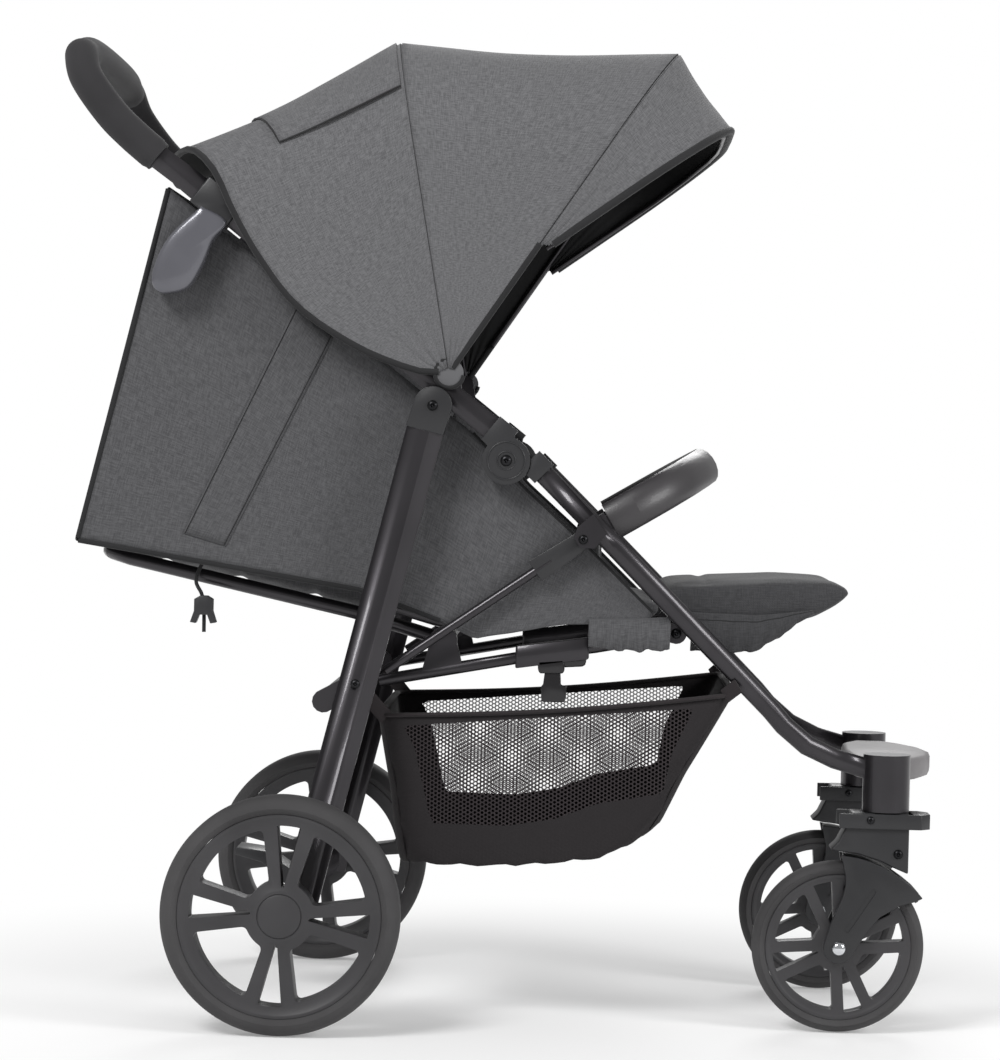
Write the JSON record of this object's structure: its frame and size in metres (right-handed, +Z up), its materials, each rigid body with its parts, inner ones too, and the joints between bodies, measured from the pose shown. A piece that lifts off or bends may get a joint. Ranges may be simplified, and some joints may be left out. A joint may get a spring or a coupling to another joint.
{
  "type": "folding pushchair",
  "caption": "Lightweight folding pushchair with reclined cloth seat, folding canopy, looped push handle, bumper bar, caster front wheels and an open mesh basket.",
  "frame": {"origin": "on the floor under the middle of the chair's bounding box", "axes": "+X towards the nose, +Y to the chair's left, +Z up"},
  "size_m": [0.9411, 0.6, 1.041],
  "materials": {
    "frame": "satin",
    "plastic": "matte",
    "tyre": "matte",
    "canopy_cloth": "woven",
    "seat_cloth": "woven",
    "basket_mesh": "mesh",
    "foam": "matte foam",
    "leatherette": "soft sheen",
    "pale_plastic": "matte",
    "cord": "braided"
  },
  "bodies": {
    "front_frame": {"front_leg_right": "frame", "front_leg_left": "frame", "knuckle_lower_right": "plastic", "knuckle_lower_left": "plastic", "footrest": "pale_plastic", "seat_front_tube": "frame", "seat_pad": "seat_cloth", "crotch_buckle": "plastic", "basket": "basket_mesh", "seat_rail_right": "frame", "seat_rail_left": "frame"},
    "handle_frame": {"handle_tube": "frame", "handle_grip": "foam", "canopy_rear_panel": "canopy_cloth", "knuckle_upper_right": "plastic", "knuckle_upper_left": "plastic", "seat_hanger_clip_right": "plastic", "seat_hanger_clip_left": "plastic"},
    "rear_frame": {"rear_leg_right": "frame", "rear_leg_left": "frame", "rear_leg_cap_right": "plastic", "rear_leg_cap_left": "plastic", "rear_cross_tube": "frame", "rear_axle": "frame"},
    "brake": {"brake_pedal": "plastic"},
    "back_hub": {"hip_tube": "frame", "side_panel_right": "seat_cloth", "side_panel_left": "seat_cloth", "head_wall": "seat_cloth"},
    "backrest": {"backrest_frame": "frame", "backrest_pad": "seat_cloth", "recline_cord": "cord", "cord_lock": "plastic"},
    "bow_rear": {"canopy_bow_rear": "frame"},
    "bow_front": {"canopy_bow_front": "frame", "canopy_mid_panel": "canopy_cloth"},
    "visor": {"visor_wire": "frame", "canopy_visor_panel": "canopy_cloth"},
    "calf_rest": {"calf_pad": "seat_cloth", "calf_frame": "frame"},
    "bumper": {"bumper_bar": "leatherette"},
    "latch": {"latch_hook": "plastic"},
    "link_right": {"link_right": "frame", "link_socket_right": "plastic"},
    "rear_wheel_right": {"rear_tyre_right": "tyre", "rear_rim_right": "plastic"},
    "caster_right": {"caster_fork_right": "plastic"},
    "lock_right": {"swivel_lock_right": "plastic"},
    "front_wheel_right": {"front_tyre_right": "tyre", "front_rim_right": "plastic"},
    "link_left": {"link_left": "frame", "link_socket_left": "plastic"},
    "rear_wheel_left": {"rear_tyre_left": "tyre", "rear_rim_left": "plastic"},
    "caster_left": {"caster_fork_left": "plastic"},
    "lock_left": {"swivel_lock_left": "plastic"},
    "front_wheel_left": {"front_tyre_left": "tyre", "front_rim_left": "plastic"}
  },
  "joints": [
    {"name": "frame_fold", "type": "hinge", "parent": "front_frame", "child": "handle_frame", "pos_m": [0.002, 0, 0.595], "axis": [0, -1, 0], "range_deg": [0, 128]},
    {"name": "rear_fold", "type": "hinge", "parent": "handle_frame", "child": "rear_frame", "pos_m": [-0.075, 0, 0.65], "axis": [0, -1, 0], "range_deg": [-89.6, 0], "deforming": ["basket"]},
    {"name": "back_fold", "type": "hinge", "parent": "front_frame", "child": "back_hub", "pos_m": [-0.06, 0, 0.405], "axis": [0, -1, 0], "range_deg": [0, 121.6], "deforming": ["side_panel_right", "side_panel_left", "head_wall"]},
    {"name": "recline", "type": "hinge", "parent": "back_hub", "child": "backrest", "pos_m": [-0.06, 0, 0.405], "axis": [0, -1, 0], "range_deg": [-50, 0]},
    {"name": "canopy_fold", "type": "hinge", "parent": "handle_frame", "child": "bow_rear", "pos_m": [-0.059, 0, 0.684], "axis": [0, -1, 0], "range_deg": [0, 37], "deforming": ["canopy_rear_panel"]},
    {"name": "bow_spread", "type": "hinge", "parent": "bow_rear", "child": "bow_front", "pos_m": [-0.059, 0, 0.684], "axis": [0, -1, 0], "range_deg": [0, 34.04], "deforming": ["canopy_mid_panel"]},
    {"name": "visor_fold", "type": "hinge", "parent": "bow_front", "child": "visor", "pos_m": [0.0285, 0, 0.8086], "axis": [0, -1, 0], "range_deg": [0, 18], "deforming": ["canopy_visor_panel"]},
    {"name": "brake_press", "type": "hinge", "parent": "rear_frame", "child": "brake", "pos_m": [-0.2166, 0, 0.1233], "axis": [0, -1, 0], "range_deg": [0, 20]},
    {"name": "calf_tilt", "type": "hinge", "parent": "front_frame", "child": "calf_rest", "pos_m": [0.1838, 0, 0.4186], "axis": [0, -1, 0], "range_deg": [-40, 0]},
    {"name": "bumper_slide", "type": "slide", "parent": "front_frame", "child": "bumper", "axis": [0.8572, 0, 0.515], "range_m": [0, 0.06]},
    {"name": "latch_swing", "type": "hinge", "parent": "front_frame", "child": "latch", "pos_m": [0.0585, -0.184, 0.374], "axis": [0, -1, 0], "range_deg": [-25, 0]},
    {"name": "link_turn_right", "type": "hinge", "parent": "front_frame", "child": "link_right", "pos_m": [0.084, -0.208, 0.515], "axis": [0, -1, 0], "range_deg": [0, 66.56]},
    {"name": "rear_wheel_spin_right", "type": "hinge", "parent": "rear_frame", "child": "rear_wheel_right", "pos_m": [-0.2166, -0.2775, 0.1233], "axis": [0, -1, 0], "continuous": true},
    {"name": "caster_swivel_right", "type": "hinge", "parent": "front_frame", "child": "caster_right", "pos_m": [0.4106, -0.1525, 0.235], "axis": [0, 0, 1], "continuous": true},
    {"name": "swivel_lock_right_tip", "type": "hinge", "parent": "caster_right", "child": "lock_right", "pos_m": [0.3927, -0.1525, 0.2236], "axis": [0, -1, 0], "range_deg": [-10, 0]},
    {"name": "front_wheel_spin_right", "type": "hinge", "parent": "caster_right", "child": "front_wheel_right", "pos_m": [0.3636, -0.1525, 0.0907], "axis": [0, -1, 0], "continuous": true},
    {"name": "link_turn_left", "type": "hinge", "parent": "front_frame", "child": "link_left", "pos_m": [0.084, 0.208, 0.515], "axis": [0, -1, 0], "range_deg": [0, 66.56]},
    {"name": "rear_wheel_spin_left", "type": "hinge", "parent": "rear_frame", "child": "rear_wheel_left", "pos_m": [-0.2166, 0.2775, 0.1233], "axis": [0, -1, 0], "continuous": true},
    {"name": "caster_swivel_left", "type": "hinge", "parent": "front_frame", "child": "caster_left", "pos_m": [0.4106, 0.1525, 0.235], "axis": [0, 0, 1], "continuous": true},
    {"name": "swivel_lock_left_tip", "type": "hinge", "parent": "caster_left", "child": "lock_left", "pos_m": [0.3927, 0.1525, 0.2236], "axis": [0, -1, 0], "range_deg": [-10, 0]},
    {"name": "front_wheel_spin_left", "type": "hinge", "parent": "caster_left", "child": "front_wheel_left", "pos_m": [0.3636, 0.1525, 0.0907], "axis": [0, -1, 0], "continuous": true}
  ],
  "couplings": [
    {"joint": "rear_fold", "follows": "frame_fold", "ratio": -0.7},
    {"joint": "back_fold", "follows": "frame_fold", "ratio": 0.95},
    {"joint": "link_turn_right", "follows": "frame_fold", "ratio": 0.52},
    {"joint": "link_turn_left", "follows": "frame_fold", "ratio": 0.52},
    {"joint": "bow_spread", "follows": "canopy_fold", "ratio": 0.92}
  ]
}
